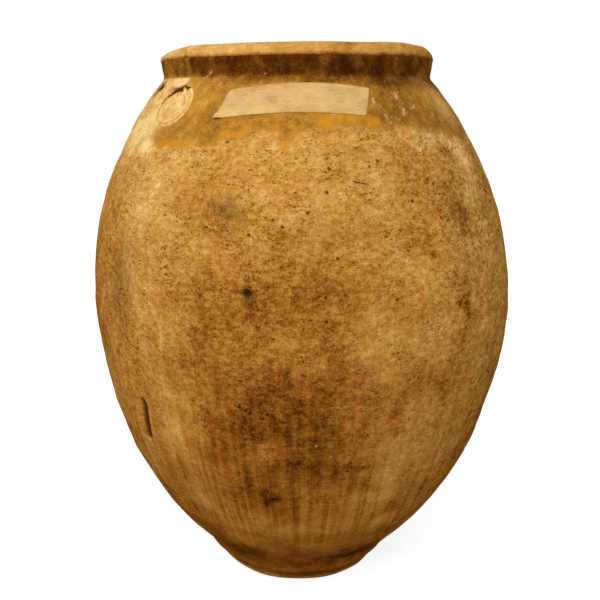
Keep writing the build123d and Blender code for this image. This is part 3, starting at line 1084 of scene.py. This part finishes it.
# %% [markdown]
# ## Skin of glaze
# The glaze is a skin about 0.8 mm thick, from below its edge up to the lip, with a fillet in the neck's
# corner where it gathered. It is turned as a sheet and laid on the clay along the wall's normals. The
# pockets are cut out of it, and a Solidify modifier gives it its thickness.

# %% Skin of glaze
glaze_reach = 122 * mm
neck_fillet = 4.5 * mm
fillet_lean = 0.3 * mm
glaze_collar_spacing = 4 * mm


def glaze_section():
    """The shoulder, a curved fillet in the neck's corner, and the collar."""
    shoulder = wall_section(wall_length - glaze_reach, wall_length - neck_fillet, 0.0, row_spacing)
    corner = np.array([wall_radius(neck_height), neck_height])
    up_collar = corner + np.array([fillet_lean, neck_fillet])
    share = np.linspace(0, 1, 6)[1:, None]
    fillet = (1 - share) ** 2 * shoulder[-1] + 2 * share * (1 - share) * corner + share ** 2 * up_collar
    collar = run(fillet[-1], (collar_radius, lip_bottom), glaze_collar_spacing)[1:]
    return np.concatenate([shoulder, fillet, collar])


def lay_glaze(points):
    """Lays the sheet on the clay, by its cover along the normals; on the collar these point straight out."""
    bearing, drop = place_of(points)
    height, radius, normal_out, normal_up = wall_place(drop)
    on_collar = smooth_step(-drop, -neck_fillet, neck_fillet)
    normals = at_bearing(bearing, normal_out * (1 - on_collar) + on_collar, normal_up * (1 - on_collar))
    return pocketed(points) + normals * glaze_cover(bearing, drop, points)[:, None]


glaze_sheet = turned(glaze_section(), closed=False)
refine(glaze_sheet, glaze_chips, reach=2.2, cuts=2)
refine(glaze_sheet, seal_marks, reach=1.0, cuts=3)
middles = np.array([face.calc_center_median() for face in glaze_sheet.faces])
in_pocket = np.min([seal_distance(*place_of(middles), seal) for seal in seal_places], axis=0) < 1.0
pocket_faces = [face for face, inside in zip(glaze_sheet.faces, in_pocket) if inside]
bmesh.ops.delete(glaze_sheet, geom=pocket_faces, context="FACES")
glaze = dress(glaze_sheet, "outside_glaze", "skin", honey_glaze, glaze_paint, lay_glaze)
skin = glaze.modifiers.new("glaze_thickness", "SOLIDIFY")
skin.thickness = glaze_thickness
skin.offset = -1

# %% [markdown]
# ## Lining
# The inside was glazed so that the jar would hold oil. It is turned like the courses, with the potter's
# finger rings pressed into it. A bump in the material could show the rings, but looking down into the jar
# they have to catch the light, so they are real.

# %% Lining
throat_height = neck_height - 8 * mm
lining_depth, lining_gap = 0.8 * mm, 0.1 * mm
lining_spacing, floor_spacing = 4 * mm, 8 * mm
lining_end = 12 * mm
ring_spacing, ring_height = 19 * mm, 0.45 * mm


def lining_section(depth, spacing):
    """The inside of the wall, drawn to the floor's corner at one end and to the throat at the other."""
    inside = wall_section(0.0, wall_length - lining_end, wall_thickness + depth, spacing)
    share = np.linspace(0, 1, len(inside))[:, None]
    floor_corner = np.array([floor_radius - depth, floor_top + depth])
    throat = np.array([mouth_radius, throat_height - depth])
    return inside + (1 - share) ** 4 * (floor_corner - inside[0]) + share ** 8 * (throat - inside[-1])


def lining_paint(points):
    return {"tone": 0.5 + 0.15 * lumps(points, 40 * mm, seed=50)}


def finger_rings(points):
    inward = points * (-1, -1, 0) / np.maximum(np.hypot(points[:, 0], points[:, 1]), push_radius)[:, None]
    rings = 1 + np.sin(points[:, 2] * (2 * math.pi / ring_spacing) + lumps(points, 60 * mm, seed=51))
    return hand_made(points) + inward * (ring_height * rings)[:, None]


lining_floor = floor_top + lining_depth
lining_loop = np.concatenate([
    run((0, lining_floor), (floor_radius - 2 * lining_depth, lining_floor), floor_spacing)[:-1],
    lining_section(lining_depth, lining_spacing),
    lining_section(lining_gap, hidden_spacing)[::-1],
    run((slab_radius, floor_top), (0, floor_top), floor_spacing),
])
lining_mesh = turned(lining_loop, closed=False, steps=turn_steps // 2)
dress(lining_mesh, "inside_glaze", "skin", lining_glaze, lining_paint, finger_rings)

# %% [markdown]
# ## Seals
# The maker pressed a round stamp into a pat of clay on the shoulder. It left a raised double rim round
# its field, and went in deepest at its upper left. Each seal is turned flat about its own axis, and then
# every point is carried to the wall, so that it bends with the shoulder.

# %% Seals
# The stamp's section: distance from the middle and height above the shoulder, both in millimetres
seal_profile = np.array([
    (0, -1.2), (12, -1.2), (15.5, -1.1), (16.2, -0.7), (17.0, -1.1), (20.5, -1.2), (22.0, -0.7), (23.0, 0.3),
    (23.8, 0.6), (24.6, 0.2), (25.2, 0.2), (26.2, 0.8), (27.2, 0.6), (28.2, 0.1), (28.8, -0.8), (26.0, -2.0),
    (26.0, -7.0), (0, -7.0),
]) * mm
seal_spacing, seal_steps = 0.8 * mm, 240
seal_floor = 6.6 * mm
rim_groove, field_groove, groove_width = 24.9 * mm, 16.2 * mm, 0.7 * mm
# The deep side of each seal, as a direction from its middle, and how far it reaches to both sides of that
deep_sides = (math.radians(125), math.radians(142))
deep_reach = (math.radians(42), math.radians(112))
deep_drop = 5.0 * mm
deep_slope = (14 * mm, 25 * mm)
crescent_shade_width, crescent_shade_fade = 5.0 * mm, (-0.8 * mm, 0.2 * mm)
burr_side, burr_reach = math.radians(111), 0.09


def deep_share(points, deep_side):
    """How deep the stamp went in at its rim, 0 to 1, in each direction from its middle."""
    turn = np.arctan2(points[:, 1], points[:, 0]) - deep_side
    turn = (turn + math.pi) % (2 * math.pi) - math.pi
    steep, gentle = 1 - (turn / deep_reach[0]) ** 2, np.clip(1 - turn / deep_reach[1], 0, 1) ** 1.4
    burr = np.exp(-(((turn + deep_side - burr_side) / burr_reach) ** 2))
    return np.clip(np.where(turn < 0, steep, gentle), 0, 1) * (1 - 0.75 * burr)


def seal_shape(points, seal, deep_side):
    """Carries a flat seal to its place on the shoulder."""
    across, upward, out = points.T
    sunk = deep_drop * deep_share(points, deep_side) * smooth_step(np.hypot(across, upward), *deep_slope)
    out = out - np.minimum(sunk, out + seal_floor).clip(0) + 0.2 * mm * lumps(points, 6 * mm, seed=55)
    step = points[:, :2] / seal_radius @ seal_axes
    return on_wall(seal[0] + step[:, 0] / wall_place(seal[1])[1], seal[1] - step[:, 1], out)


def seal_paint(points, deep_side):
    """Pale clay, with painted shade in the grooves and along the deep side."""
    radius = np.hypot(points[:, 0], points[:, 1])
    groove_shade = np.exp(-(((radius - rim_groove) / groove_width) ** 2))
    groove_shade += 0.5 * np.exp(-(((radius - field_groove) / groove_width) ** 2))
    share = deep_share(points, deep_side)
    # Painted shade along the deep side, where the stamp's wall faces away from the light
    into_dark = radius - seal_radius + crescent_shade_width * share
    dark = smooth_step(into_dark, *crescent_shade_fade) * smooth_step(share, 0.02, 0.15)
    none = np.zeros(len(points))
    brown = 0.12 + 0.04 * lumps(points, 7 * mm, seed=56) + 0.2 * groove_shade
    return {"brown": brown, "stain_and_shading": none, "soot_and_shade": none, "streaks": none, "marks": 1.1 * dark,
            "pitting": none + 0.15, "mottling": none + 0.5}


def seal_mesh():
    sides = [run(start, end, seal_spacing)[:-1] for start, end in zip(seal_profile, seal_profile[1:])]
    return turned(np.concatenate(sides + [seal_profile[-1:]]), closed=False, steps=seal_steps)


for name, seal, deep_side in zip(("front_seal", "side_seal"), seal_places, deep_sides):
    dress(seal_mesh(), name, "clay", clay, partial(seal_paint, deep_side=deep_side),
          partial(seal_shape, seal=seal, deep_side=deep_side))

# %% [markdown]
# ## Paper tape
# A strip of tape is stuck across the front. Its corners and the middles of its long edges are pixels of
# the picture, so it follows the shoulder as the real strip does. It lies on the glaze, with small
# wrinkles, and its lower left corner has started to lift. A Shrinkwrap modifier could lay it down too,
# but it would lose the lifted corner.

# %% Paper tape
tape_top_pixels = ((229, 91), (292, 83.5), (368.5, 89))
tape_bottom_pixels = ((213, 120), (300, 113), (366, 116.5))
tape_length, tape_width, tape_thickness = 158 * mm, 40 * mm, 0.3 * mm
tape_stand, tape_lift, tape_wrinkle = 0.35 * mm, 3.0 * mm, 0.08 * mm
lift_length, lift_width = 0.12, 0.45
torn_length, torn_turn = 0.04, 0.004


def tape_edge(pixels, share):
    """Bearing and drop along a curve through three pixels."""
    first, middle, last = [np.array(wall_spot(*pixel)) for pixel in pixels]
    part = (middle[0] - first[0]) / (last[0] - first[0])
    bend = (middle - first - part * (last - first)) / (part * (1 - part))
    share = share[:, None]
    return first + share * (last - first) + share * (1 - share) * bend


def stick_tape(points):
    """Carries a flat square of side 1 to the strip's place on the glaze."""
    along, across = points[:, 0] + 0.5, points[:, 1] + 0.5
    top, bottom = tape_edge(tape_top_pixels, along), tape_edge(tape_bottom_pixels, along)
    bearing, drop = (bottom + across[:, None] * (top - bottom)).T
    torn = smooth_step(along, torn_length, 0.0) * lumps(points * (1, 30, 1), 1.0, seed=57)
    bearing = bearing + torn_turn * torn
    lifted = 1 - smooth_step(np.hypot(along / lift_length, across / lift_width), 0.0, 1.0)
    wrinkle = tape_wrinkle * lumps(points * (8, 60, 0), 1.0, seed=58)
    under = np.maximum(glaze_cover(bearing, drop, on_wall(bearing, drop)), 0)
    return on_wall(bearing, drop, under + tape_stand + tape_lift * lifted ** 2 + wrinkle)


def tape_paint(points):
    edge = np.minimum(0.5 - np.abs(points[:, 0]), (0.5 - np.abs(points[:, 1])) / 4)
    # The left half is painted a little darker: painted shade that evens out the lamp's light across the strip
    shaded = 0.04 - 0.03 * smooth_step(points[:, 0], -0.2, 0.3)
    return {"wear_and_shade": 0.05 * (1 - smooth_step(edge, 0.0, 0.02)) + shaded + 0.04 * lumps(points, 0.2, seed=59)}


tape_mesh = bmesh.new()
bmesh.ops.create_grid(tape_mesh, x_segments=160, y_segments=40, size=0.5)
strip_map = tape_mesh.loops.layers.uv.new("strip")
for face in tape_mesh.faces:
    face.smooth = True
    for corner in face.loops:
        corner[strip_map].uv = (corner.vert.co.x * tape_length, corner.vert.co.y * tape_width)
tape = dress(tape_mesh, "paper_tape", "strip", tape_paper, tape_paint, stick_tape)
paper = tape.modifiers.new("paper_thickness", "SOLIDIFY")
paper.thickness = tape_thickness
paper.offset = 1

# %% [markdown]
# ## Floor
# The jar stands on a plain pale floor. Camera rays see the floor as white, and it keeps a soft shadow;
# other rays see an ordinary floor, so that it doesn't light the jar from below. A shadow catcher would
# need compositing.

# %% Floor
ground_radius = 6.0
shadow_from, shadow_to = 0.3, 0.9
near_glow, far_glow = 0.82, 1.0
bpy.context.scene.view_settings.view_transform = "Standard"


def camera_sees(tree):
    """1 for rays that show the background: straight, reflected or through glass."""
    path = add(tree, "LightPath").node.outputs
    seen = add(tree, "Math", {0: path["Is Camera Ray"], 1: path["Is Glossy Ray"]}, operation="MAXIMUM")
    return add(tree, "Math", {0: seen, 1: path["Is Transmission Ray"]}, operation="MAXIMUM")


def floor_paint():
    material = bpy.data.materials.new("pale_floor")
    material.use_nodes = True
    tree = material.node_tree
    tree.nodes.clear()
    place = add(tree, "TexCoord").node.outputs["Object"]
    away = add(tree, "VectorMath", {0: place}, operation="LENGTH")
    faded = add(tree, "MapRange", {"Value": away, "From Min": shadow_from, "From Max": shadow_to,
                                   "To Min": near_glow, "To Max": far_glow})
    shade = add(tree, "BsdfDiffuse", {"Color": colour("#A0A0A0")})
    glow = add(tree, "Emission", {"Color": (1, 1, 1, 1), "Strength": faded})
    white = add(tree, "AddShader", {0: shade, 1: glow})
    plain = add(tree, "BsdfDiffuse", {"Color": colour("#A0844E")})
    both = add(tree, "MixShader", {0: camera_sees(tree), 1: plain, 2: white})
    add(tree, "OutputMaterial", {"Surface": both})
    return material


floor_mesh = bmesh.new()
bmesh.ops.create_circle(floor_mesh, cap_ends=True, radius=ground_radius, segments=96)
floor_data = bpy.data.meshes.new("floor")
floor_mesh.to_mesh(floor_data)
floor_mesh.free()
floor_data.materials.append(floor_paint())
floor = bpy.data.objects.new("floor", floor_data)
bpy.context.scene.collection.objects.link(floor)
print("floor:", floor_data.materials[0].name)

# %% [markdown]
# ## Light
# The background is white to the camera and a weaker sky to everything else. A large soft lamp stands at
# the front left, above, like a window, a weak one on the right lifts that side, and one behind shows the
# back. An image of a studio could light the jar too, but three lamps are easier to place.

# %% Light
sky_light = 0.40
world = bpy.data.worlds.new("studio")
bpy.context.scene.world = world
world.use_nodes = True
sky = world.node_tree
strength = add(sky, "MapRange", {"Value": camera_sees(sky), "To Min": sky_light, "To Max": 1.0})
plug(sky, sky.nodes["Background"], {"Color": (1, 1, 1, 1), "Strength": strength})


def soft_lamp(name, place, target, size, power):
    lamp_data = bpy.data.lights.new(name, "AREA")
    lamp_data.size = size
    lamp_data.energy = power
    lamp = bpy.data.objects.new(name, lamp_data)
    lamp.location = place
    lamp.rotation_euler = (Vector(target) - Vector(place)).to_track_quat("-Z", "Y").to_euler()
    bpy.context.scene.collection.objects.link(lamp)


soft_lamp("window", (-0.64, -1.75, 1.6), (0, 0, 0.45), size=1.2, power=32.5)
soft_lamp("side_light", (1.7, -0.3, 1.7), (0, 0, 0.4), size=1.0, power=4.4)
soft_lamp("back_light", (0.0, 2.2, 1.5), (0, 0, 0.4), size=1.4, power=16)
print("lamps:", len(bpy.data.lights))
